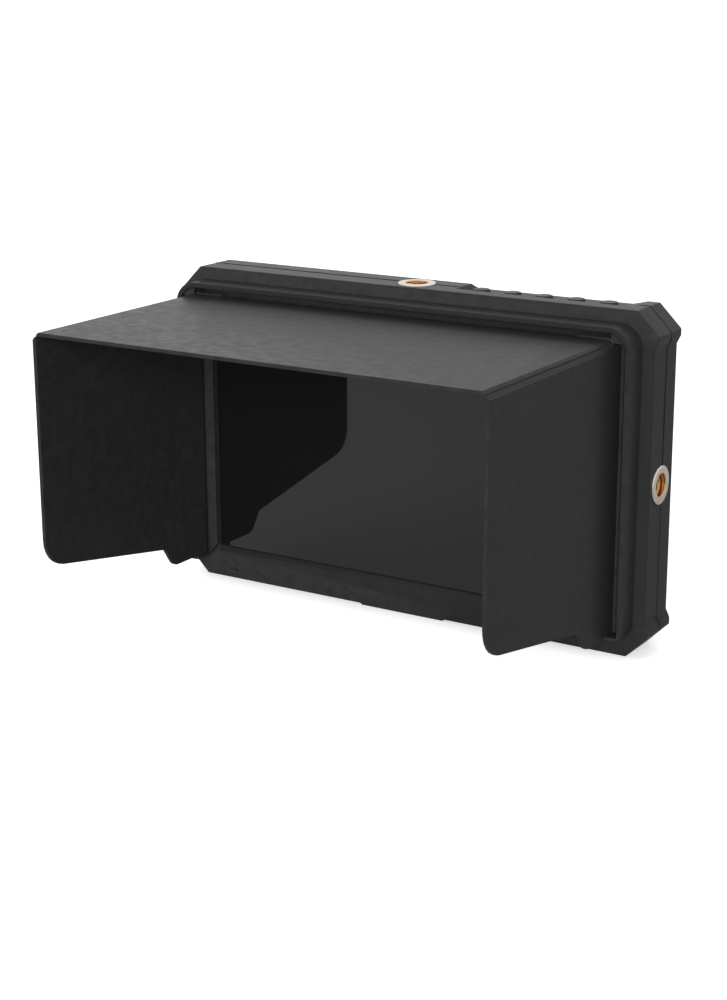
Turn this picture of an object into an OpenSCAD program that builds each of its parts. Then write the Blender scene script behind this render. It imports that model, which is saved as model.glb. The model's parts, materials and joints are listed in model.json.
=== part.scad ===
// Five inch camera field monitor with a folding sun hood.
// X runs to the right seen from the screen side, Y to the back and Z up. The origin is the mouth of the tripod
// thread in the base. Depths in the modules are measured from the front edge of the case, and at_front() moves
// each piece from there into the object's frame.

/* [Case] */
// Width of the case over its corner bumps
case_w = 135.2; // [134.8:0.1:136.4]
// Height of the case
case_h = 84; // [84:0.1:84.6]
// Depth of the case from its front edge to its rear face
case_d = 20; // [20:0.1:20.6]
// Depth of the flat side walls
side_d = 13; // [12.6:0.1:13.2]
// Depth of the parting seam between front bezel and rear cover
seam_d = 7.3; // [7.1:0.1:7.4]
// Thickness of the case walls
wall = 1.8; // [1.6:0.1:1.9]
// Leg of the 45 degree cut at each corner
corner_cut = 5.6; // [5.2:0.1:5.8]
// How far the sides are set in between the corner bumps
side_recess = 1; // [0.6:0.1:1.1]
// How far the front land stands forward of the front edge
land_out = 1; // [0.9:0.1:1.1]

/* [Screen] */
// Width of the cover glass
glass_w = 114; // [113.6:0.1:114.1]
// Height of the cover glass
glass_h = 67; // [66.6:0.1:67.1]
// Thickness of the cover glass
glass_t = 1; // [0.8:0.1:1]
// Height of the middle of the screen above the base
screen_z = 42.5; // [42.4:0.1:42.6]

/* [Sun hood] */
// Width over the opened side flaps
hood_w = 121; // [120.8:0.1:121.2]
// Height of the top flap's upper face above the base
hood_top = 78.1; // [78:0.1:78.2]
// How far the opened hood reaches in front of the case's front edge
hood_out = 67.5; // [62:0.5:69]
// Thickness of the side flaps
side_t = 1; // [0.9:0.05:1]
// Thickness of the top flap
top_t = 0.9; // [0.85:0.05:0.9]
// How far the ridge of the hood frame stands in front of the front edge
ridge_out = 7.75; // [7.6:0.05:8]
// Wall thickness of that ridge
ridge_t = 1.3; // [1.2:0.1:1.3]

/* [Threads and buttons] */
// Wall radius of the quarter inch thread in each brass insert
thread_r = 2.55; // [2.5:0.01:2.6]
// Depth of that thread
thread_l = 6; // [5:0.5:6]
// Number of push buttons on top
button_count = 5; // [5:1:5]
// Radius of a button's head
button_r = 2.2; // [2.1:0.05:2.3]
// Distance between neighbouring buttons
button_pitch = 8.5; // [8.3:0.05:8.6]

/* [Hidden] */
$fn = 48;
eps = 0.01;

// Threads: depth of their axes behind the front edge, brass insert sizes
thread_y = 6.2;
insert_r = 4;
insert_l = 6.5;
flange_r = 4.7;
flange_t = 0.6;
insert_proud = 0.3;
side_x = case_w / 2 - side_recess;

// Case: corner shape, front land, cavity, seam groove
corner_flat = 1.6;
corner_flare = 2;
land_w = 128.3;
land_top = 81.15;
land_bottom = 3.7;
land_cut = 3.6;
land_dip = 0.05;
cavity_x = side_x - wall;
cavity_top = case_h - 2.4;
cavity_cut = 5;
groove = 0.2;
tab_wide = 34;
tab_narrow = 24;
bevel_z = 7.6;
light_x = -51.9;
light_z = 2.5;
light_hole_r = 0.5;
pipe_r = 0.7;
pipe_y = 1.1;

// Screen stack, front to back
glass_y = -0.3;
ledge_y = glass_y + glass_t + 0.2;
ledge_t = 1.2;
window_w = 111.8;
window_h = 64.2;
panel_w = 116.6;
panel_h = 68.6;
panel_y = ledge_y + ledge_t + 0.3;
panel_t = 1.2;
backlight_t = 1.8;
bracket_y = panel_y + panel_t + backlight_t;
bracket_t = 0.8;
board_y = 11.6;
board_t = 1.2;

// Case screws and the columns that they go through
screw_x = 61.5;
screw_z = [10, 74];
screw_head_y = 14;
column_r = 2.6;
shank_r = 1.2;

// Buttons on top: the shallow recess, the row, and the two ribs that the switch board rests on
recess_d = 1.25;
recess_front = 4.7;
recess_x = [11.8, 59];
recess_ramp = 4.5;
button_x = 17.55;
button_y = 7.3;
button_top = case_h + 0.05;
button_bottom = cavity_top - 0.4;
button_gap = 0.15;
crown = 0.25;
key_z = 78;
key_rib_x = [10, 56];

// Hood: flap planes and hinge axes. Shut, the right flap lies behind the left one and the top flap in front.
// A slanting band runs along the hood's upper outer edges, edge_run wide and edge_drop high.
half_w = hood_w / 2;
flap_in = half_w - side_t;
edge_run = 1.7;
edge_drop = 1.8;
edge_low = hood_top - edge_drop;
top_half = flap_in - 0.12;
top_under = hood_top - top_t;
flap_top = top_under - 0.1;
knuckle_r = 0.95;
pin_r = 0.5;
pin_fit = 0.06;
hinge_x = flap_in + knuckle_r;
right_y = -3.6;
left_y = right_y - side_t - 0.35;
top_y = left_y - side_t / 2 - 0.85;
top_z = hood_top - 0.25;
top_pin_r = 0.35;
top_knuckle_r = 0.65;
ridge_r = 5.8;
foot_r = 2.5;
frame_in_w = land_w - 2 * ridge_t;
frame_in_top = land_top - ridge_t;
frame_low = 6.2;
frame_base_y = -2.3;
rib_in = 57.1;
rib_top = 76.2;
ear_top = 7.1;
block_in = 58.8;
block_low = top_z - 0.55;
block_front = top_y - 0.7;
root_half = block_in - 0.4;
root_y = -8;

// Lower edge of a side flap: its front corner, and the lobe that steps down near the hinge
front_low = 20.9;
front_r = 7.5;
left_step_y = -21.6;
right_step_y = -22.8;
step_z = 12.7;
step_r = 1.6;
lobe_run = 3.6;
lobe_z = ear_top + 0.2;
lobe_r = 3.2;
left_tail = 1.5;
right_tail = 0.3;

// Pegs behind the ridge
peg_x = 60.4;
peg_z = [28, 60];
peg_r = 1.1;

// Hinge pins: heights of each side flap's two upright pins, and the top flap's two level ones
lower_pin = [6.5, 13];
upper_pin = [71, 79];
top_pin_x = 52;
top_pin_l = 9.5;

// Ports on the left side: middle heights and the depth of their axes
port_y = 8.95;
hdmi_z = [60, 40];
hdmi_l = 15;
hdmi_d = 5.3;
dc_z = 25;
dc_r = 3.3;
phone_z = 16;
phone_r = 2.6;

// Rear face: vents in two groups, speaker behind its slots
vent_x = 41;
vent_half = 13;
vent_low = 47;
vent_count = 7;
vent_pitch = 3.4;
vent_gap = 1.6;
speaker_x = 45;
speaker_z = 22.6;
speaker_r = 9;
slot_pitch = 2.8;
slot_half = 7;

// Battery plate on the back: rails with hooks, screws, contacts and the release button
plate_w = 44;
plate_z = [9.5, 74.5];
plate_floor = case_d + 2;
plate_back = case_d + 5.5;
rail_t = 2.4;
hook_z = [22, 46];
plate_screw_x = 15;
plate_screw_z = [20, 60];
contact_x = [-6, 0, 6];
contact_half = 0.8;
contact_z = [11.1, 12.1];
contact_y = case_d + 3.2;
release_z = [67, 72.6];
release_half = 4.5;
release_travel = 1.8;

plastic = "#3b3b3d";
flap_plastic = "#434345";
brass = "#d8a860";
steel = "#b5b8bc";
board_green = "#1f5a3c";

// Moves a piece from depths behind the front edge into the object's frame
module at_front() {
    translate([0, -thread_y, 0]) children();
}

// A flat shape in X and Z, solid from depth y0 to depth y1
module slab(y0, y1) {
    translate([0, y1, 0]) rotate([90, 0, 0]) linear_extrude(y1 - y0) children();
}

// A flat shape in Y and Z, solid from x0 to x1
module across(x0, x1) {
    translate([x0, 0, 0]) rotate([90, 0, 90]) linear_extrude(x1 - x0) children();
}

// A round rod along Y from depth y0 to depth y1
module rod_y(x, z, y0, y1, r) {
    translate([x, y1, z]) rotate([90, 0, 0]) cylinder(r = r, h = y1 - y0);
}

// A box given by its lowest and highest corners
module block(low, high) {
    translate(low) cube(high - low);
}

// A rectangle in X and Z about x = 0
module pane(w, z0, z1) {
    translate([-w / 2, z0]) square([w, z1 - z0]);
}

// The case's sixteen-cornered outline at one depth, set in at the sides, top and bottom
function ring(y, side = 0, top = 0, bottom = 0, cut = corner_cut, dip = side_recess) =
    let (w = case_w / 2 - side, t = case_h - top, b = bottom, r = w - dip,
        f = cut + corner_flat, g = f + corner_flare)
    [[-w + cut, y, b], [w - cut, y, b], [w, y, b + cut], [w, y, b + f], [r, y, b + g], [r, y, t - g],
     [w, y, t - f], [w, y, t - cut], [w - cut, y, t], [-w + cut, y, t], [-w, y, t - cut], [-w, y, t - f],
     [-r, y, t - g], [-r, y, b + g], [-w, y, b + f], [-w, y, b + cut]];

// The same outline as a flat shape in X and Z
module outline(inset = 0) {
    polygon([for (p = ring(0, inset, inset, inset)) [p.x, p.z]]);
}

// Solid through a row of outlines, from the front one to the back one, with a fan of triangles at each end
module loft(rings) {
    n = len(rings[0]);
    last = n * (len(rings) - 1);
    front = last + n;
    polyhedron(
        points = concat([for (r = rings) each r],
            [for (r = [rings[0], rings[len(rings) - 1]]) [0, r[0].y, case_h / 2]]),
        faces = concat(
            [for (k = [0:len(rings) - 2], i = [0:n - 1], half = [0, 1])
                let (a = n * k + i, b = n * k + (i + 1) % n)
                half == 0 ? [a, b, b + n] : [a, b + n, a + n]],
            [for (i = [0:n - 1]) [(i + 1) % n, i, front]],
            [for (i = [0:n - 1]) [last + i, last + (i + 1) % n, front + 1]]));
}

// The hollow inside the case at one depth: an eight-cornered outline
function hollow(y, side = 0, top = 0, bottom = 0) =
    let (w = cavity_x - side, t = cavity_top - top, b = wall + bottom, c = cavity_cut)
    [[-w + c, y, b], [w - c, y, b], [w, y, b + c], [w, y, t - c], [w - c, y, t], [-w + c, y, t], [-w, y, t - c],
     [-w, y, b + c]];

// Points of a corner at b between a and c, rounded with radius r
function corner(a, b, c, r, n = 6) = r == 0 ? [b] :
    let (u = (a - b) / norm(a - b), v = (c - b) / norm(c - b), half = acos(u * v) / 2,
        o = b + (u + v) / norm(u + v) * r / sin(half), p = b + u * r / tan(half) - o,
        q = b + v * r / tan(half) - o, start = atan2(p.y, p.x),
        turn = (atan2(q.y, q.x) - start + 540) % 360 - 180)
    [for (i = [0:n]) o + r * [cos(start + turn * i / n), sin(start + turn * i / n)]];

// A closed outline with each corner rounded by its own radius
function rounded(pts, radii) = let (n = len(pts))
    [for (i = [0:n - 1]) each corner(pts[(i + n - 1) % n], pts[i], pts[(i + 1) % n], radii[i])];

// An upright rectangle about x = 0 with rounded top corners
module arch(w, z0, z1, r) {
    pane(w, z0, z1 - r);
    pane(w - 2 * r, z0, z1);
    for (s = [-1, 1]) translate([s * (w / 2 - r), z1 - r]) circle(r);
}

// Where the three brass inserts sit: mouth, outward turn, how proud
module at_insert(which) {
    if (which == "top") translate([0, thread_y, case_h + insert_proud]) children();
    if (which == "right") translate([side_x + insert_proud, thread_y, case_h / 2]) rotate([0, 90, 0]) children();
    if (which == "bottom") translate([0, thread_y, 0]) rotate([180, 0, 0]) children();
}

module insert() {
    difference() {
        union() {
            translate([0, 0, -insert_l]) cylinder(r = insert_r, h = insert_l - flange_t);
            translate([0, 0, -flange_t]) cylinder(r = flange_r, h = flange_t);
        }
        translate([0, 0, -thread_l]) cylinder(r = thread_r, h = thread_l + 1);
    }
}

// Room for the three inserts in the case
module insert_seats() {
    for (w = ["top", "right", "bottom"]) at_insert(w) {
        translate([0, 0, -insert_l]) cylinder(r = insert_r, h = insert_l);
        translate([0, 0, -flange_t]) cylinder(r = flange_r + 0.05, h = flange_t + 1);
    }
}

// Blocks that hold the inserts, from depth y0 to depth y1
module insert_blocks(y0, y1) {
    b = insert_r + 2.2;
    block([-b, y0, wall - eps], [b, y1, insert_l + 0.4]);
    block([-b, y0, case_h - insert_l - 0.3], [b, y1, cavity_top + eps]);
    block([side_x - insert_l - 0.1, y0, case_h / 2 - b], [cavity_x + eps, y1, case_h / 2 + b]);
}

// The shallow recess that the push buttons stand in
module button_recess() {
    slab(recess_front, case_d + 1) polygon([[recess_x[0], case_h], [recess_x[0] + recess_d, case_h - recess_d],
        [recess_x[1] - recess_ramp, case_h - recess_d], [recess_x[1], case_h], [recess_x[1], case_h + 1],
        [recess_x[0], case_h + 1]]);
}

// Places its children at each push button, with $i the button's number from 0
module at_buttons() {
    for ($i = [0:button_count - 1]) translate([button_x + $i * button_pitch, button_y, 0]) children();
}

// Places its children at each of the four case screws, in X and Z
module at_screws() {
    for (s = [-1, 1], z = screw_z) translate([s * screw_x, 0, z]) children();
}

// Openings for the sockets in the left side
module port_openings() {
    x = -case_w / 2;
    for (z = hdmi_z) block([x - 1, port_y - hdmi_d / 2 - 0.3, z - hdmi_l / 2 - 0.3],
        [x + 4, port_y + hdmi_d / 2 + 0.3, z + hdmi_l / 2 + 0.3]);
    translate([x - 1, port_y, dc_z]) rotate([0, 90, 0]) cylinder(r = dc_r + 0.3, h = 5);
    translate([x - 1, port_y, phone_z]) rotate([0, 90, 0]) cylinder(r = phone_r + 0.3, h = 5);
}

module front_bezel() color(plastic) at_front() difference() {
    union() {
        difference() {
            union() {
                slab(0, seam_d - groove) outline();
                slab(seam_d - groove, seam_d) outline(groove);
                loft([ring(-land_out, (case_w - land_w) / 2, case_h - land_top, land_bottom, land_cut, land_dip),
                    ring(0)]);
                slab(-land_out, eps) polygon([[-tab_wide / 2, land_bottom + 0.4], [-tab_narrow / 2, 0],
                    [tab_narrow / 2, 0], [tab_wide / 2, land_bottom + 0.4]]);
            }
            loft([hollow(ledge_y + ledge_t), hollow(seam_d + 1)]);
        }
        insert_blocks(ledge_y + ledge_t - eps, seam_d);
        at_screws() rod_y(0, 0, ledge_y + ledge_t - eps, bracket_y, column_r);
        for (x = key_rib_x) block([x, ledge_y + ledge_t - eps, key_z - 1], [x + 2, seam_d - 0.8, key_z]);
    }
    slab(-land_out - 1, ledge_y)
        pane(glass_w + 0.3, screen_z - glass_h / 2 - 0.15, screen_z + glass_h / 2 + 0.15);
    slab(ledge_y - 1, panel_y) pane(window_w, screen_z - window_h / 2, screen_z + window_h / 2);
    across(-glass_w / 2 - 0.15, glass_w / 2 + 0.15) polygon([[-land_out - 0.28, bevel_z - 0.5],
        [glass_y, bevel_z + 1.25], [glass_y, bevel_z + 2], [-land_out - 0.28, bevel_z + 2]]);
    button_recess();
    at_buttons() translate([0, 0, key_z]) cylinder(r = button_r + button_gap, h = 10);
    insert_seats();
    port_openings();
    at_screws() rod_y(0, 0, 1.4, seam_d + 1, shank_r);
    frame_pegs();
    rod_y(light_x, light_z, -2, pipe_y, light_hole_r);
    rod_y(light_x, light_z, pipe_y - 0.2, ledge_y + ledge_t + 1, pipe_r + 0.1);
}

// Pegs that fix the hood frame to the bezel
module frame_pegs() {
    for (s = [-1, 1], z = peg_z) rod_y(s * peg_x, z, -land_out - 0.5, 1, peg_r);
}

module rear_cover() color(plastic) at_front() difference() {
    union() {
        difference() {
            loft([ring(seam_d), ring(side_d), ring(side_d + 0.6, 0.8, 0.6, 0.6),
                ring(case_d - 0.9, 6.4, 4.2, 4.2), ring(case_d, 7.4, 5.2, 5.2)]);
            loft([hollow(seam_d - 1), hollow(side_d - 0.4), hollow(case_d - wall, 6, 4, 4)]);
        }
        insert_blocks(seam_d, thread_y + insert_r + 1.6);
        at_screws() rod_y(0, 0, bracket_y + bracket_t, screw_head_y + 2.4, column_r);
        for (s = [-1, 1], z = plate_screw_z) rod_y(s * plate_screw_x, z, board_y + board_t + 1.2,
            case_d - wall + eps, column_r);
    }
    button_recess();
    at_buttons() translate([0, 0, key_z]) cylinder(r = button_r + button_gap, h = 10);
    insert_seats();
    port_openings();
    at_screws() {
        rod_y(0, 0, 0, case_d, shank_r + 0.15);
        rod_y(0, 0, screw_head_y, case_d + 1, 2.5);
    }
    for (s = [-1, 1], z = plate_screw_z) rod_y(s * plate_screw_x, z, board_y, case_d + 1, shank_r);
    for (s = [-1, 1], k = [0:vent_count - 1]) let (x = s * vent_x, z = vent_low + k * vent_pitch)
        block([x - vent_half, case_d - wall - 1, z], [x + vent_half, case_d + 1, z + vent_gap]);
    for (k = [-2:2]) let (z = speaker_z + k * slot_pitch)
        block([speaker_x - slot_half, case_d - wall - 1, z - slot_pitch / 4],
            [speaker_x + slot_half, case_d + 1, z + slot_pitch / 4]);
    block([-7, case_d - wall - 1, release_z[0] - 1.6], [7, case_d + 1, release_z[1] + 1.6]);
    block([-8, case_d - wall - 1, contact_z[0] - 0.5], [8, case_d + 1, contact_z[1] + 0.5]);
}

// Outline of the ridge in X and Z, with rounded feet
module ridge_outline() intersection() {
    arch(land_w, frame_low, land_top, ridge_r);
    polygon(rounded([[-land_w / 2, frame_low], [land_w / 2, frame_low], [land_w / 2, land_top],
        [-land_w / 2, land_top]], [foot_r, foot_r, 0, 0]));
}

// Hood frame: the ridge round the top and sides, its base rib round the glass, and the hinge ears
module hood_frame() color(plastic) at_front() difference() {
    union() {
        difference() {
            slab(-ridge_out, -land_out) ridge_outline();
            slab(-ridge_out - 1, frame_base_y) arch(frame_in_w, frame_low - 1, frame_in_top, ridge_r - ridge_t);
        }
        slab(-ridge_out, -land_out) difference() {
            intersection() {
                ridge_outline();
                pane(frame_in_w + 2 * eps, frame_low, ear_top);
            }
            pane(2 * flap_in, frame_low - 1, ear_top + 1);
        }
        for (s = [-1, 1]) {
            mirror([s < 0 ? 1 : 0, 0, 0]) {
                block([block_in, block_front, block_low], [frame_in_w / 2 - 1.4, -land_out, frame_in_top + eps]);
                block([block_in, block_front, block_low], [frame_in_w / 2 + eps, -land_out, frame_in_top - 1.4]);
            }
        }
        frame_pegs();
    }
    slab(-ridge_out - 1, 0) pane(2 * rib_in, frame_low - 1, rib_top);
    for (s = [-1, 1]) {
        slab(frame_base_y - eps, 0) polygon([[s * rib_in, frame_low - 1], [s * rib_in, 9.4],
            [s * (rib_in + 3.9), frame_low - 1]]);
        side_pins(s * hinge_x, s < 0 ? left_y : right_y, pin_r);
        top_pin(s, top_pin_r);
    }
}

// The two upright pins of one side flap
module side_pins(x, y, r) {
    for (p = [lower_pin, upper_pin]) translate([x, y, p[0]]) cylinder(r = r, h = p[1] - p[0]);
}

// One of the top flap's two level pins, on the side s
module top_pin(s, r) {
    translate([s * top_pin_x, top_y, top_z]) rotate([0, s * 90, 0]) cylinder(r = r, h = top_pin_l);
}

// Outline of a side flap in Y and Z, with its rear edge at depth end and the lobe's step at depth step_y
function flap_outline(end, step_y) = rounded(
    [[end, flap_top], [-hood_out, flap_top], [-hood_out, front_low], [step_y, step_z],
     [step_y + lobe_run, lobe_z], [end, lobe_z]],
    [0, 0, front_r, step_r, lobe_r, 0]);

// Half the hood's width at a height within the slanting band along its upper edge, and the other way round
function edge_x(z) = half_w - (z - edge_low) * edge_run / edge_drop;
function edge_z(x) = edge_low + (half_w - x) * edge_drop / edge_run;

// A side flap on the side s with its hinge axis at depth y: panel with its part of the slanting band, ending a
// little behind the axis, and a hinge barrel
module side_flap(s, y, tail, step_y) {
    mirror([s < 0 ? 1 : 0, 0, 0]) difference() {
        union() {
            difference() {
                across(flap_in, half_w) polygon(flap_outline(y + tail, step_y));
                slab(-hood_out - 1, y + 2) polygon([[edge_x(flap_top + 0.3), flap_top + 0.3],
                    [half_w + 1, flap_top + 0.3], [half_w + 1, edge_low - edge_drop / edge_run]]);
            }
            translate([hinge_x, y, lobe_z]) cylinder(r = knuckle_r, h = flap_top - lobe_z);
        }
        translate([hinge_x, y, ear_top]) cylinder(r = pin_r + pin_fit, h = lower_pin[1] - ear_top + 0.5);
        translate([hinge_x, y, upper_pin[0] - 0.5]) cylinder(r = pin_r + pin_fit, h = 8);
    }
}

module hood_left_flap() color(flap_plastic) at_front() side_flap(-1, left_y, left_tail, left_step_y);
module hood_right_flap() color(flap_plastic) at_front() side_flap(1, right_y, right_tail, right_step_y);

module hood_top_flap() color(flap_plastic) at_front() difference() {
    union() {
        slab(-hood_out, root_y) polygon([[-top_half, top_under], [top_half, top_under],
            [top_half, edge_z(top_half)], [edge_x(hood_top), hood_top], [-edge_x(hood_top), hood_top],
            [-top_half, edge_z(top_half)]]);
        block([-root_half, root_y - eps, top_under], [root_half, top_y, hood_top]);
        for (s = [-1, 1]) translate([s * (root_half - 4), top_y, top_z]) rotate([0, 90, 0])
            translate([0, 0, -4]) cylinder(r = top_knuckle_r, h = 8);
    }
    for (s = [-1, 1]) translate([s * (root_half - 8.5), top_y, top_z]) rotate([0, s * 90, 0])
        cylinder(r = top_pin_r + pin_fit, h = 10);
}

module top_hinge_pins() color(steel) at_front() for (s = [-1, 1]) top_pin(s, top_pin_r);
module left_hinge_pins() color(steel) at_front() side_pins(-hinge_x, left_y, pin_r);
module right_hinge_pins() color(steel) at_front() side_pins(hinge_x, right_y, pin_r);

module cover_glass() color("#101114") at_front()
    slab(glass_y, glass_y + glass_t) pane(glass_w, screen_z - glass_h / 2, screen_z + glass_h / 2);

// A flat frame in X and Z: outer size less an opening, both about the middle of the screen
module frame_shape(w, h, in_w, in_h) {
    difference() {
        pane(w, screen_z - h / 2, screen_z + h / 2);
        pane(in_w, screen_z - in_h / 2, screen_z + in_h / 2);
    }
}

module glass_adhesive() color("#202020") at_front()
    slab(glass_y + glass_t, ledge_y) frame_shape(glass_w, glass_h, window_w, window_h);

module screen_gasket() color("#303030") at_front()
    slab(ledge_y + ledge_t, panel_y) frame_shape(panel_w - 0.4, panel_h - 0.4, window_w, window_h);

module lcd_panel() color("#15161a") at_front()
    slab(panel_y, panel_y + panel_t) pane(panel_w, screen_z - panel_h / 2, screen_z + panel_h / 2);

module backlight_unit() color("#e8e8e8") at_front() {
    slab(panel_y + panel_t, bracket_y) pane(panel_w, screen_z - panel_h / 2, screen_z + panel_h / 2);
}

// Sheet metal bracket that clamps the screen, with a lug at each case screw
module panel_bracket() color(steel) at_front() difference() {
    slab(bracket_y, bracket_y + bracket_t) {
        difference() {
            pane(panel_w, screen_z - panel_h / 2, screen_z + panel_h / 2);
            for (x = [-42, -14, 14, 42], z = [25, 60]) translate([x - 11, z - 13]) square([22, 20]);
        }
        for (s = [-1, 1], z = screw_z) {
            translate([s * screw_x, z]) circle(column_r);
            translate([s * (screw_x - 2.5) - 2.5, z - 1.6]) square([5, 3.2]);
        }
    }
    at_screws() rod_y(0, 0, 0, 10, shank_r + 0.15);
    at_standoffs() rod_y(0, 0, 0, 10, 1);
}

// Places its children at the four standoffs that carry the main board
module at_standoffs() {
    for (s = [-1, 1], z = [12, 71]) translate([s * 49, 0, z]) children();
}

module board_standoffs() color(brass) at_front() at_standoffs() difference() {
    translate([0, board_y, 0]) rotate([90, 0, 0]) cylinder(r = 2.5, h = board_y - bracket_y - bracket_t, $fn = 6);
    rod_y(0, 0, bracket_y, board_y + 1, 1);
}

module board_screws() color(steel) at_front() at_standoffs() {
    rod_y(0, 0, bracket_y + bracket_t + 1.5, board_y + board_t, 1);
    screw_head(board_y + board_t, 1.9, 1.1);
}

// A screw's head with a hexagon socket, from depth y backwards
module screw_head(y, r, h) {
    difference() {
        rod_y(0, 0, y, y + h, r);
        translate([0, y + h + eps, 0]) rotate([90, 0, 0]) cylinder(r = r / 2, h = h * 0.6, $fn = 6);
    }
}

module main_board() color(board_green) at_front() difference() {
    slab(board_y, board_y + board_t) {
        translate([-58.5, 8]) square([115.5, 68]);
        translate([light_x - 3.5, light_z - 0.2]) square([7, 7]);
    }
    at_standoffs() rod_y(0, 0, 0, 20, 1.1);
}

module processor() color("#26262a") at_front()
    slab(board_y + board_t, board_y + board_t + 1.4) translate([-9, 32]) square([18, 18]);

module heat_spreader() color("#c9ccd0") at_front() {
    y = board_y + board_t + 1.4;
    slab(y, y + 1) translate([-18, 26]) square([36, 30]);
    for (k = [0:6]) block([-18 + k * 5.7, y + 1 - eps, 26], [-18 + k * 5.7 + 1.4, y + 3.2, 56]);
}

// Metal shell of one socket, open to the left
module hdmi_shell(z) {
    x = -side_x + 0.3;
    difference() {
        block([x, port_y - hdmi_d / 2, z - hdmi_l / 2], [x + 11.5, port_y + hdmi_d / 2, z + hdmi_l / 2]);
        block([x - 1, port_y - hdmi_d / 2 + 0.4, z - hdmi_l / 2 + 0.5],
            [x + 9.5, port_y + hdmi_d / 2 - 0.4, z + hdmi_l / 2 - 0.5]);
    }
}

module hdmi_in() color(steel) at_front() hdmi_shell(hdmi_z[1]);
module hdmi_out() color(steel) at_front() hdmi_shell(hdmi_z[0]);

module hdmi_tongues() color("#1a1a1c") at_front() for (z = hdmi_z)
    block([-side_x + 2.2, port_y - 0.9, z - 5.6], [-side_x + 9.8, port_y + 0.5, z + 5.6]);

module dc_jack() color("#1d1d1f") at_front() difference() {
    union() {
        translate([-side_x + 0.4, port_y, dc_z]) rotate([0, 90, 0]) cylinder(r = dc_r, h = 3);
        block([-side_x + 2.4, port_y - hdmi_d / 2, dc_z - 4.5], [-side_x + 12, port_y + hdmi_d / 2, dc_z + 4.5]);
    }
    translate([-side_x - 1, port_y, dc_z]) rotate([0, 90, 0]) cylinder(r = 2.4, h = 10.4);
}

module dc_jack_pin() color(brass) at_front()
    translate([-side_x + 1.4, port_y, dc_z]) rotate([0, 90, 0]) cylinder(r = 0.9, h = 8);

module headphone_jack() color("#1d1d1f") at_front() difference() {
    union() {
        translate([-side_x + 0.3, port_y, phone_z]) rotate([0, 90, 0]) cylinder(r = phone_r, h = 3);
        block([-side_x + 2.4, port_y - hdmi_d / 2, phone_z - 3], [-side_x + 13, port_y + hdmi_d / 2, phone_z + 3]);
    }
    translate([-side_x - 1, port_y, phone_z]) rotate([0, 90, 0]) cylinder(r = 1.8, h = 13);
}

module key_board() color(board_green) at_front()
    block([10, 2.9, key_z], [58, 11, key_z + 1]);

module key_switches() color("#8d9094") at_front() at_buttons() {
    block([-2.25, -2.25, key_z + 1], [2.25, 2.25, key_z + 2.6]);
    translate([0, 0, key_z + 2.6 - eps]) cylinder(r = 1.1, h = 0.25);
}

// One push button: head, chamfered crown and the flange that keeps it in
module button(i) color(flap_plastic) at_front() translate([button_x + i * button_pitch, button_y, 0]) {
    translate([0, 0, button_bottom]) cylinder(r = button_r, h = button_top - crown - button_bottom);
    translate([0, 0, button_top - crown]) cylinder(r1 = button_r, r2 = button_r - crown, h = crown);
    translate([0, 0, button_bottom]) cylinder(r = button_r + 0.5, h = crown);
}

module display_cable() color("#b87333") at_front() across(14, 38)
    ribbon([[3, screen_z - panel_h / 2], [3, 7.2], [10, 7.2], [10, 16]]);

module button_cable() color("#b87333") at_front() across(30, 38)
    ribbon([[10, key_z - 0.25], [13.2, key_z - 0.25], [13.2, 70]]);

// A thin ribbon along a path of square turns
module ribbon(path, t = 0.25) {
    for (k = [0:len(path) - 2]) {
        low = [min(path[k].x, path[k + 1].x), min(path[k].y, path[k + 1].y)];
        high = [max(path[k].x, path[k + 1].x), max(path[k].y, path[k + 1].y)];
        translate(low) square([high.x - low.x + t, high.y - low.y + (high.x > low.x ? t : 0)]);
    }
}

module insert_top() color(brass) at_front() at_insert("top") insert();
module insert_right() color(brass) at_front() at_insert("right") insert();
module insert_bottom() color(brass) at_front() at_insert("bottom") insert();

module status_led() color("#e8f0e8") at_front()
    block([light_x - 1.1, board_y - 0.8, light_z - 0.2], [light_x + 1.1, board_y, light_z + 0.8]);

module status_light_pipe() color("#dfe6ea") at_front() {
    rod_y(light_x, light_z, pipe_y, board_y - 0.9, pipe_r);
    rod_y(light_x, light_z, 0.1, pipe_y + eps, light_hole_r - 0.04);
}

module speaker() color("#222224") at_front() difference() {
    rod_y(speaker_x, speaker_z, board_y + board_t + 0.6, case_d - wall - 0.2, speaker_r);
    translate([speaker_x, case_d - wall - 0.2, speaker_z]) rotate([90, 0, 0])
        cylinder(r1 = 7.6, r2 = 3, h = 1.6);
}

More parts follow.
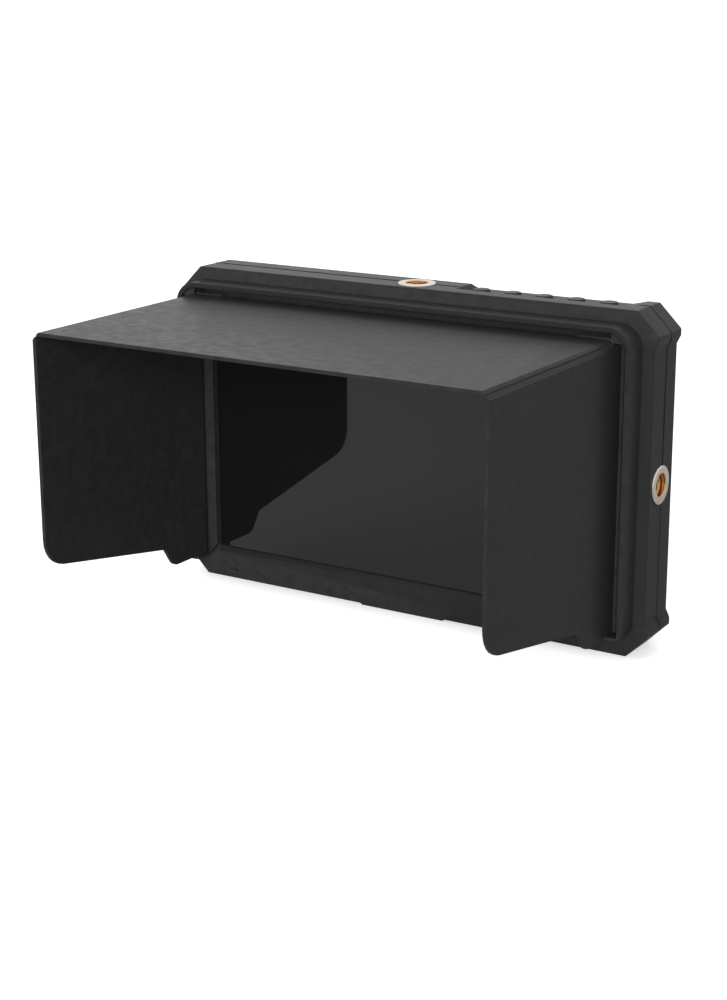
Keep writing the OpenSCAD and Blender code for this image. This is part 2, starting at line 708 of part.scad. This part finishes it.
// Plate that a camcorder battery slides down onto, between two hooked rails
module battery_plate() color(plastic) at_front() difference() {
    union() {
        block([-plate_w / 2, case_d, plate_z[0]], [plate_w / 2, plate_floor, plate_z[1]]);
        for (s = [-1, 1]) mirror([s < 0 ? 1 : 0, 0, 0]) {
            block([plate_w / 2 - rail_t, plate_floor - eps, plate_z[0]], [plate_w / 2, plate_back, plate_z[1]]);
            for (z = hook_z) block([plate_w / 2 - rail_t - 1, plate_back - 1.1, z],
                [plate_w / 2 - rail_t + eps, plate_back, z + 12]);
        }
        block([-plate_w / 2, plate_floor - eps, plate_z[0]], [plate_w / 2, plate_back, plate_z[0] + 4]);
    }
    for (s = [-1, 1], z = plate_screw_z) {
        rod_y(s * plate_screw_x, z, case_d - 1, plate_back, shank_r + 0.15);
        rod_y(s * plate_screw_x, z, plate_floor - 1.3, plate_back, 2.4);
    }
    block([-release_half - 0.2, case_d - 1, release_z[0] - 0.2],
        [release_half + 0.2, plate_back, release_z[1] + 0.2]);
    for (x = contact_x) {
        block([x - contact_half, case_d - 1, contact_z[0]], [x + contact_half, contact_y + 0.8, contact_z[1]]);
        block([x - contact_half, contact_y, contact_z[0]], [x + contact_half, contact_y + 0.8, 20]);
    }
    for (s = [-1, 1]) across(s * plate_w / 2 - 3, s * plate_w / 2 + 3) polygon([[plate_back - 1.6, plate_z[1] + 1],
        [plate_back + 1, plate_z[1] + 1], [plate_back + 1, plate_z[1] - 1.6]]);
}

module battery_contacts() color(brass) at_front() for (x = contact_x) {
    block([x - contact_half, board_y + board_t, contact_z[0]], [x + contact_half, contact_y + 0.8, contact_z[1]]);
    block([x - contact_half, contact_y, contact_z[1] - eps], [x + contact_half, contact_y + 0.8, 17]);
}

// Release button with the tooth that holds the battery, pressed towards the screen
module battery_release() color("#c03028") at_front() {
    block([-release_half, case_d - 0.2, release_z[0]], [release_half, plate_floor + 0.6, release_z[1]]);
    block([-release_half - 1.1, case_d - 1.1, release_z[0] - 1],
        [release_half + 1.1, case_d - 0.15, release_z[1] + 1]);
    across(-3, 3) polygon([[plate_floor + 0.5, release_z[0]], [plate_floor + 1.7, release_z[0]],
        [plate_floor + 1.7, release_z[0] + 0.8], [plate_floor + 0.5, release_z[0] + 2.6]]);
}

module release_spring() color(steel) at_front() difference() {
    rod_y(0, (release_z[0] + release_z[1]) / 2, board_y + board_t, case_d - 1.2 - release_travel, 2);
    rod_y(0, (release_z[0] + release_z[1]) / 2, board_y, case_d, 1.4);
}

module plate_screws() color(steel) at_front() for (s = [-1, 1], z = plate_screw_z)
    translate([s * plate_screw_x, 0, z]) {
        rod_y(0, 0, board_y + board_t + 1.4, plate_floor - 1.3 + eps, shank_r);
        screw_head(plate_floor - 1.3, 2.2, 1.2);
    }

module case_screws() color("#3a3c40") at_front() at_screws() {
    rod_y(0, 0, 1.6, screw_head_y + eps, shank_r);
    screw_head(screw_head_y, 2.3, 1.7);
}

front_bezel();
rear_cover();
hood_frame();
hood_top_flap();
hood_left_flap();
hood_right_flap();
top_hinge_pins();
left_hinge_pins();
right_hinge_pins();
cover_glass();
glass_adhesive();
screen_gasket();
lcd_panel();
backlight_unit();
panel_bracket();
display_cable();
main_board();
board_standoffs();
board_screws();
processor();
heat_spreader();
hdmi_in();
hdmi_out();
hdmi_tongues();
dc_jack();
dc_jack_pin();
headphone_jack();
key_board();
key_switches();
button(0);  // button_1
button(1);  // button_2
button(2);  // button_3
button(3);  // button_4
button(4);  // button_5
button_cable();
insert_top();
insert_right();
insert_bottom();
status_led();
status_light_pipe();
speaker();
battery_plate();
battery_contacts();
battery_release();
release_spring();
plate_screws();
case_screws();
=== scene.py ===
import bmesh
import bpy
import json
import math
from mathutils import Matrix, Vector

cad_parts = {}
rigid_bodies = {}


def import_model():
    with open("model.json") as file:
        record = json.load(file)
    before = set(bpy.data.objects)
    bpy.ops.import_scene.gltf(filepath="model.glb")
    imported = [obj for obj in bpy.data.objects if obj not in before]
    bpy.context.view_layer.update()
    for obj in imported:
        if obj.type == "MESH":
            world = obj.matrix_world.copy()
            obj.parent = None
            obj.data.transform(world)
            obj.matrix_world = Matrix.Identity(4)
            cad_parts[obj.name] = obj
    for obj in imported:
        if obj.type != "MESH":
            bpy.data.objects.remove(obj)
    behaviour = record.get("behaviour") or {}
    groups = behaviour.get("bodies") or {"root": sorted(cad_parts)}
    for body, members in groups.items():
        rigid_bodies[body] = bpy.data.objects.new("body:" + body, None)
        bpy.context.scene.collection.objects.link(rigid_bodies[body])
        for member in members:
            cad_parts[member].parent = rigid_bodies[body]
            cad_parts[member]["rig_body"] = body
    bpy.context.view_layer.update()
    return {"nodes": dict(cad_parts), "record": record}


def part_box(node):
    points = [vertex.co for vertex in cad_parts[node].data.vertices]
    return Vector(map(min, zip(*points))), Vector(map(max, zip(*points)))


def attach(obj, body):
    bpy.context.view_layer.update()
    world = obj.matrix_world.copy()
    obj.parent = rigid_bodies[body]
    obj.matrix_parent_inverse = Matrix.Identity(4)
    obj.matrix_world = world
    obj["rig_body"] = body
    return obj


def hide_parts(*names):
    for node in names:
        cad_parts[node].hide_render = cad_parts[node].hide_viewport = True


# Camera field monitor with a folding sun hood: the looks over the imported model. The scene is in metres,
# with the screen facing -Y.
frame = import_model()
nodes = frame["nodes"]
slots = {part["node"]: part["material_slot"] for part in frame["record"]["subparts"]}
MM = 0.001

# Camera, as solved from the photograph's box edges
CAMERA_AT = Vector((0.241171, -0.408837, 0.165210))
CAMERA_YAW = math.radians(32.154)
CAMERA_PITCH = math.radians(-16.086)
CAMERA_ROLL = math.radians(-0.229)
CAMERA_LENS = 69.757

# Studio levels, each for plain light, for camera rays and for what is mirrored or seen through a pane
SKY = (0.3, 1.0, 0.88)
FLOOR_TONE = (0.35, 1.0, 0.35)
FLOOR_LIFT = (0.0, 0.79, 0.2)
FLOOR_HALF = 6

# Contact shadow on the floor: its reach, the openness at which it is darkest, and the share of the lift
# left there
CONTACT_REACH = 0.006
CONTACT_OPEN = 0.4
CONTACT_LEFT = 0.66

# Two soft suns, each as travel direction, level and softness in degrees
KEY = (Vector((-0.33, 0.9, -0.13)), 3.2, 44)
BACK = (Vector((0.3, -0.94, -0.16)), 1.6, 60)

# Edges to round: how far two faces turn in degrees, and the shortest length in millimetres
SHARP_ANGLE = 28
SHORTEST_EDGE = 0.16

# Rounding of the outer pieces: width in millimetres and segments
ROUNDING = {
    "front_bezel": (0.3, 3),
    "rear_cover": (0.25, 3),
    "hood_frame": (0.2, 3),
    "hood_top_flap": (0.07, 2),
    "hood_left_flap": (0.07, 2),
    "hood_right_flap": (0.07, 2),
    **{f"button_{number}": (0.12, 2) for number in range(1, 6)},
    "battery_plate": (0.25, 3),
    "battery_release": (0.2, 3),
    "cover_glass": (0.08, 2),
}

# Brass insert, in millimetres: quarter inch thread with 20 turns to the inch, whose crests are cut back a
# little and whose first turn runs in from the mouth
INSERT_R = 4.0
INSERT_LENGTH = 6.5
FLANGE_R = 4.7
FLANGE_T = 0.6
THREAD_MINOR = 2.55
THREAD_MAJOR = 3.175
THREAD_PITCH = 1.27
THREAD_DEPTH = 6.0
THREAD_START = 0.3
THREAD_RUN_IN = 0.5
CREST_CUT = 0.2
MOUTH_DEPTH = 0.32

# Its mesh: points around, rows down the bore, the angle in degrees from which its edges are sharp, and the
# share of half a pitch over which a crest and a root are flat
AROUND = 96
BORE_ROWS = 76
INSERT_SHARP_ANGLE = 35
FLAT_SHARE = 0.12

# Moulded plastic: clouding of its tone, and how worn edges differ
CLOUDING = 0.03
WORN_TONE = 2.2
WORN_SHARE = 0.5
WORN_SMOOTHER = 0.12


def add_camera():
    yaw, pitch = CAMERA_YAW, CAMERA_PITCH
    ahead = Vector((-math.sin(yaw) * math.cos(pitch), math.cos(yaw) * math.cos(pitch), math.sin(pitch)))
    right = Vector((math.cos(yaw), math.sin(yaw), 0))
    up = right.cross(ahead)
    rolled = math.cos(CAMERA_ROLL) * right + math.sin(CAMERA_ROLL) * up
    up = rolled.cross(ahead)
    camera = bpy.data.objects.new("camera", bpy.data.cameras.new("camera"))
    bpy.context.scene.collection.objects.link(camera)
    camera.data.sensor_width = 36
    camera.data.lens = CAMERA_LENS
    camera.data.clip_start, camera.data.clip_end = 0.01, 50
    turn = Matrix((rolled, up, -ahead)).transposed()
    camera.matrix_world = Matrix.Translation(CAMERA_AT) @ turn.to_4x4()
    bpy.context.scene.camera = camera


def by_ray(tree, plain, camera, mirrored):
    """A level with its own value for camera rays and for mirrored or transmitted rays."""
    path = tree.nodes.new("ShaderNodeLightPath")
    either = tree.nodes.new("ShaderNodeMath")
    either.operation = "MAXIMUM"
    tree.links.new(path.outputs["Is Glossy Ray"], either.inputs[0])
    tree.links.new(path.outputs["Is Transmission Ray"], either.inputs[1])
    level = plain
    for ray, value in ((either.outputs[0], mirrored), (path.outputs["Is Camera Ray"], camera)):
        mix = tree.nodes.new("ShaderNodeMix")
        tree.links.new(ray, mix.inputs["Factor"])
        if level is plain:
            mix.inputs["A"].default_value = plain
        else:
            tree.links.new(level, mix.inputs["A"])
        mix.inputs["B"].default_value = value
        level = mix.outputs["Result"]
    return level


def add_studio():
    scene = bpy.context.scene
    scene.view_settings.view_transform = "Standard"
    world = bpy.data.worlds.new("studio")
    scene.world = world
    world.use_nodes = True
    tree = world.node_tree
    background = tree.nodes["Background"]
    background.inputs["Color"].default_value = (1, 1, 1, 1)
    tree.links.new(by_ray(tree, *SKY), background.inputs["Strength"])

    soft_sun("key", *KEY)
    soft_sun("back", *BACK)

    mesh = bpy.data.meshes.new("floor")
    corners = [(x * FLOOR_HALF, y * FLOOR_HALF, 0) for x, y in ((-1, -1), (1, -1), (1, 1), (-1, 1))]
    mesh.from_pydata(corners, [], [(0, 1, 2, 3)])
    floor = bpy.data.objects.new("floor", mesh)
    scene.collection.objects.link(floor)
    floor.data.materials.append(floor_material())


def soft_sun(name, direction, level, softness):
    """Even light from one side, softened over so many degrees, that isn't mirrored in the glass."""
    light = bpy.data.lights.new(name, "SUN")
    light.energy, light.angle = level, math.radians(softness)
    lamp = bpy.data.objects.new(name, light)
    bpy.context.scene.collection.objects.link(lamp)
    lamp.rotation_mode = "QUATERNION"
    lamp.rotation_quaternion = direction.to_track_quat("-Z", "Y")
    lamp.visible_glossy = False


def floor_material():
    """Pale matt floor that the camera sees lighter, so that it ends in the white backdrop, but for a narrow
    contact shadow."""
    material = bpy.data.materials.new("floor")
    material.use_nodes = True
    tree = material.node_tree
    shader = tree.nodes["Principled BSDF"]
    tree.links.new(by_ray(tree, *FLOOR_TONE), shader.inputs["Base Color"])
    shader.inputs["Roughness"].default_value = 0.9
    shader.inputs["Specular IOR Level"].default_value = 0
    shader.inputs["Emission Color"].default_value = (1, 1, 1, 1)
    near = tree.nodes.new("ShaderNodeAmbientOcclusion")
    near.inputs["Distance"].default_value = CONTACT_REACH
    shade = tree.nodes.new("ShaderNodeMapRange")
    shade.inputs["From Min"].default_value = CONTACT_OPEN
    shade.inputs["To Min"].default_value = CONTACT_LEFT
    tree.links.new(near.outputs["AO"], shade.inputs["Value"])
    lift = tree.nodes.new("ShaderNodeMath")
    lift.operation = "MULTIPLY"
    tree.links.new(by_ray(tree, *FLOOR_LIFT), lift.inputs[0])
    tree.links.new(shade.outputs["Result"], lift.inputs[1])
    tree.links.new(lift.outputs[0], shader.inputs["Emission Strength"])
    return material


class Surface:
    """One procedural material on the Principled shader, with small helpers for its nodes."""

    def __init__(self, name, roughness, **fixed):
        self.material = bpy.data.materials.new(name)
        self.material.use_nodes = True
        self.tree = self.material.node_tree
        self.shader = self.tree.nodes["Principled BSDF"]
        self.shader.inputs["Roughness"].default_value = roughness
        for socket, value in fixed.items():
            self.shader.inputs[socket.replace("_", " ")].default_value = value
        self.place = self.tree.nodes.new("ShaderNodeTexCoord").outputs["Object"]

    def link(self, out, into):
        self.tree.links.new(out, into)

    def noise(self, scale, detail=3.0, stretch=None):
        """Noise of about 1 / scale metres, stretched along an axis if asked."""
        node = self.tree.nodes.new("ShaderNodeTexNoise")
        node.inputs["Scale"].default_value = scale
        node.inputs["Detail"].default_value = detail
        place = self.place
        if stretch:
            mapping = self.tree.nodes.new("ShaderNodeMapping")
            mapping.inputs["Scale"].default_value = stretch
            self.link(place, mapping.inputs["Vector"])
            place = mapping.outputs["Vector"]
        self.link(place, node.inputs["Vector"])
        return node.outputs["Fac"]

    def remap(self, value, low, high, to_low, to_high):
        node = self.tree.nodes.new("ShaderNodeMapRange")
        for socket, number in zip(("From Min", "From Max", "To Min", "To Max"), (low, high, to_low, to_high)):
            node.inputs[socket].default_value = number
        self.link(value, node.inputs["Value"])
        return node.outputs["Result"]

    def math(self, operation, a, b):
        node = self.tree.nodes.new("ShaderNodeMath")
        node.operation = operation
        for socket, value in zip(node.inputs, (a, b)):
            if isinstance(value, (int, float)):
                socket.default_value = value
            else:
                self.link(value, socket)
        return node.outputs[0]

    def mix(self, factor, a, b):
        """Colour between a and b, each a colour or a socket."""
        node = self.tree.nodes.new("ShaderNodeMix")
        node.data_type = "RGBA"
        self.link(factor, node.inputs[0])
        for socket, value in ((node.inputs[6], a), (node.inputs[7], b)):
            if isinstance(value, tuple):
                socket.default_value = (*value, 1)
            else:
                self.link(value, socket)
        return node.outputs[2]

    def edges(self, low=0.505, high=0.56):
        """0 on flat places, rising to 1 on outer edges."""
        geometry = self.tree.nodes.new("ShaderNodeNewGeometry")
        return self.remap(geometry.outputs["Pointiness"], low, high, 0, 1)

    def bump(self, height, distance, strength=1.0):
        node = self.tree.nodes.new("ShaderNodeBump")
        node.inputs["Distance"].default_value = distance
        node.inputs["Strength"].default_value = strength
        self.link(height, node.inputs["Height"])
        self.link(node.outputs["Normal"], self.shader.inputs["Normal"])

    def color(self, socket):
        self.link(socket, self.shader.inputs["Base Color"])

    def roughness(self, socket):
        self.link(socket, self.shader.inputs["Roughness"])


def moulded(name, tone, roughness, grain=2600, depth=0.000005, specular=0.1):
    """Moulded plastic: fine spark-eroded grain, slight clouding, edges worn a little lighter and smoother."""
    s = Surface(name, roughness, Specular_IOR_Level=specular)
    cloud = s.noise(30, 2)
    fine = s.noise(grain, 2)
    worn = s.math("MULTIPLY", s.edges(), s.remap(s.noise(400, 3), 0.35, 0.65, 0.35, 1))
    dark = tuple(c * (1 - CLOUDING) for c in tone)
    light = tuple(c * (1 + CLOUDING) for c in tone)
    base = s.mix(s.remap(cloud, 0.3, 0.7, 0, 1), dark, light)
    s.color(s.mix(s.math("MULTIPLY", worn, WORN_SHARE), base, tuple(c * WORN_TONE for c in tone)))
    rough = s.math("ADD", s.remap(fine, 0.3, 0.7, roughness - 0.02, roughness + 0.02),
                   s.remap(cloud, 0.3, 0.7, -0.006, 0.006))
    s.roughness(s.math("SUBTRACT", rough, s.math("MULTIPLY", worn, WORN_SMOOTHER)))
    s.bump(fine, depth)
    return s.material


def metal(name, tone, roughness, stretch=(1, 1, 1), scratch=900):
    """Machined or drawn metal: fine tool marks, slight tarnish."""
    s = Surface(name, roughness, Metallic=1.0)
    marks = s.noise(scratch, 3, stretch)
    cloud = s.noise(220, 3)
    s.color(s.mix(s.remap(cloud, 0.35, 0.7, 0, 1), tone, tuple(c * 0.82 for c in tone)))
    s.roughness(s.remap(marks, 0.3, 0.7, roughness - 0.06, roughness + 0.08))
    s.bump(marks, 0.000006)
    return s.material


def glass():
    """Dark cover glass over a display that is switched off, with faint wipe marks."""
    s = Surface("cover_glass", 0.02, IOR=1.78)
    s.shader.inputs["Base Color"].default_value = (0.0075, 0.0075, 0.0078, 1)
    smear = s.noise(18, 4, (1, 1, 2.5))
    s.roughness(s.remap(smear, 0.35, 0.75, 0.012, 0.05))
    return s.material


def printed_board(name, tone):
    """Solder resist with the faint relief of copper tracks under it."""
    s = Surface(name, 0.35)
    tracks = s.tree.nodes.new("ShaderNodeTexVoronoi")
    tracks.distance = "MANHATTAN"
    tracks.inputs["Scale"].default_value = 260
    s.link(s.place, tracks.inputs["Vector"])
    lit = s.remap(tracks.outputs["Distance"], 0.3, 0.36, 0, 1)
    s.color(s.mix(lit, tuple(c * 0.7 for c in tone), tone))
    s.bump(lit, 0.00003)
    return s.material


def film(name, tone):
    """Amber polyimide ribbon with the faint relief of its conductors."""
    s = Surface(name, 0.3)
    wave = s.tree.nodes.new("ShaderNodeTexWave")
    wave.inputs["Scale"].default_value = 500
    s.link(s.place, wave.inputs["Vector"])
    s.color(s.mix(wave.outputs["Fac"], tuple(c * 0.55 for c in tone), tone))
    s.bump(wave.outputs["Fac"], 0.00001)
    return s.material


materials = {
    "case_plastic": moulded("case_plastic", (0.028, 0.028, 0.0284), 0.36),
    "flap_plastic": moulded("flap_plastic", (0.028, 0.028, 0.0284), 0.38, 3000, 0.000002),
    "button_plastic": moulded("button_plastic", (0.026, 0.026, 0.0265), 0.4, 3800, 0.000015),
    "socket_plastic": moulded("socket_plastic", (0.012, 0.012, 0.013), 0.4, 4200, 0.00001),
    "white_plastic": moulded("white_plastic", (0.75, 0.75, 0.74), 0.35, 3000, 0.00001),
    # The light pipe's plastic is tinted near black and barely mirrors: painted shade that makes the status
    # hole a dark dot.
    "clear_plastic": moulded("clear_plastic", (0.003, 0.003, 0.0032), 0.3, 3000, 0.000002, 0.02),
    "release_red": moulded("release_red", (0.42, 0.035, 0.025), 0.42, 2800, 0.00002),
    "gasket": moulded("gasket", (0.02, 0.02, 0.02), 0.85, 1200, 0.00006),
    "lcd": moulded("lcd", (0.008, 0.008, 0.01), 0.2, 500, 0.000001),
    "board": printed_board("board", (0.03, 0.17, 0.085)),
    "flex_film": film("flex_film", (0.5, 0.2, 0.07)),
    # Brass of the inserts as a lit and a shaded copy: the flange's brass is paled towards white, a painted
    # reflection of the white surroundings; the thread's brass is darker and more orange, painted shade inside
    # the bore.
    "brass": metal("brass", (0.97, 0.88, 0.76), 0.28),
    "brass_thread_in_painted_shade": metal("brass_thread_in_painted_shade", (0.72, 0.36, 0.13), 0.3),
    "steel": metal("steel", (0.42, 0.42, 0.43), 0.34, (1, 1, 6)),
    "black_steel": metal("black_steel", (0.06, 0.06, 0.063), 0.38),
    "aluminium": metal("aluminium", (0.78, 0.79, 0.80), 0.32, (1, 1, 8)),
    "cover_glass": glass(),
}


def set_material(piece, name):
    piece.data.materials.clear()
    piece.data.materials.append(materials[name])


def new_piece(name, mesh, node):
    """Links a mesh as the piece that stands for a CAD node, on the node's body and with its finish."""
    piece = bpy.data.objects.new(name, mesh)
    bpy.context.scene.collection.objects.link(piece)
    set_material(piece, slots[node])
    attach(piece, nodes[node]["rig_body"])
    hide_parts(node)
    return piece


def refine(node, width, segments):
    """Replaces a CAD node with a copy whose edges are rounded to width (mm). Its triangles stay as they are,
    so that a corner too fine for the rounding spoils nothing beyond itself."""
    bm = bmesh.new()
    bm.from_mesh(nodes[node].data)
    bmesh.ops.remove_doubles(bm, verts=bm.verts, dist=2e-6)
    sharp = [e for e in bm.edges if len(e.link_faces) == 2
             and e.calc_face_angle(0) > math.radians(SHARP_ANGLE) and e.calc_length() > SHORTEST_EDGE * MM]
    bmesh.ops.bevel(bm, geom=sharp, offset=width * MM, offset_type="OFFSET", segments=segments, profile=0.5,
                    affect="EDGES", clamp_overlap=False)
    mesh = bpy.data.meshes.new(node)
    bm.to_mesh(mesh)
    bm.free()
    mesh.shade_smooth()
    piece = new_piece(node + "_shell", mesh, node)
    piece.modifiers.new("normals", "WEIGHTED_NORMAL").keep_sharp = True


def insert_radius(depth, turn):
    """Radius of the thread in an insert at a depth (mm) below its start and a turn from 0 to 1."""
    phase = (depth / THREAD_PITCH - turn) % 1
    ridge = 1 - abs(2 * phase - 1)
    flat = min(max((ridge - FLAT_SHARE) / (1 - 2 * FLAT_SHARE), 0), 1)
    cut = min(depth / THREAD_RUN_IN, 1) * (1 - flat)
    crest = THREAD_MINOR + CREST_CUT
    return crest + (THREAD_MAJOR - crest) * cut


def threaded_insert(node, place):
    """Brass insert with a flange and a real thread. place turns +Z into the outward axis at the mouth."""
    outer = [(INSERT_R, -INSERT_LENGTH), (INSERT_R, -FLANGE_T), (FLANGE_R, -FLANGE_T),
             (FLANGE_R, -0.18), (FLANGE_R - 0.05, -0.06), (FLANGE_R - 0.16, 0), (THREAD_MAJOR - 0.2, 0),
             (THREAD_MAJOR - 0.3, -0.04), (THREAD_MAJOR - 0.4, -0.3)]
    rows = [[(r, z)] * AROUND for r, z in outer]
    for k in range(BORE_ROWS + 1):
        depth = MOUTH_DEPTH + (THREAD_DEPTH - MOUTH_DEPTH) * k / BORE_ROWS
        rows.append([(insert_radius(depth - THREAD_START, i / AROUND), -depth) for i in range(AROUND)])
    bm = bmesh.new()
    ring = []
    turns = [math.tau * i / AROUND for i in range(AROUND)]
    for row in rows:
        ring.append([bm.verts.new((r * math.cos(turn), r * math.sin(turn), z))
                     for turn, (r, z) in zip(turns, row)])
    for a, b in zip(ring, ring[1:]):
        for i in range(AROUND):
            j = (i + 1) % AROUND
            bm.faces.new((a[i], a[j], b[j], b[i]))
    for ends, z in ((ring[0], -INSERT_LENGTH), (ring[-1], -THREAD_DEPTH)):
        centre = bm.verts.new((0, 0, z))
        for i in range(AROUND):
            bm.faces.new((ends[i], ends[(i + 1) % AROUND], centre))
    bmesh.ops.recalc_face_normals(bm, faces=bm.faces)
    bmesh.ops.scale(bm, vec=(MM, MM, MM), verts=bm.verts)
    bmesh.ops.transform(bm, matrix=place, verts=bm.verts)
    mesh = bpy.data.meshes.new(node)
    bm.to_mesh(mesh)
    bm.free()
    mesh.shade_smooth()
    mesh.set_sharp_from_angle(angle=math.radians(INSERT_SHARP_ANGLE))
    new_piece(node + "_threaded", mesh, node)
    # The bore gets the darker, more orange brass: painted shade inside the thread.
    mesh.materials.append(materials["brass_thread_in_painted_shade"])
    bore = AROUND * (len(outer) - 2)
    for face in mesh.polygons[bore:AROUND * (len(rows) - 1)]:
        face.material_index = 1


def mouth(node, outward):
    """Placing matrix of an insert from its node's box: the middle of its outward face, turned outwards."""
    low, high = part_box(node)
    place = (low + high) / 2
    for i, side in enumerate(outward):
        if side:
            place[i] = high[i] if side > 0 else low[i]
    return Matrix.Translation(place) @ Vector(outward).to_track_quat("Z", "Y").to_matrix().to_4x4()


add_camera()
add_studio()

for name, node in nodes.items():
    set_material(node, slots[name])

for node, (width, segments) in ROUNDING.items():
    refine(node, width, segments)
for node, outward in (("insert_top", (0, 0, 1)), ("insert_right", (1, 0, 0)), ("insert_bottom", (0, 0, -1))):
    threaded_insert(node, mouth(node, outward))
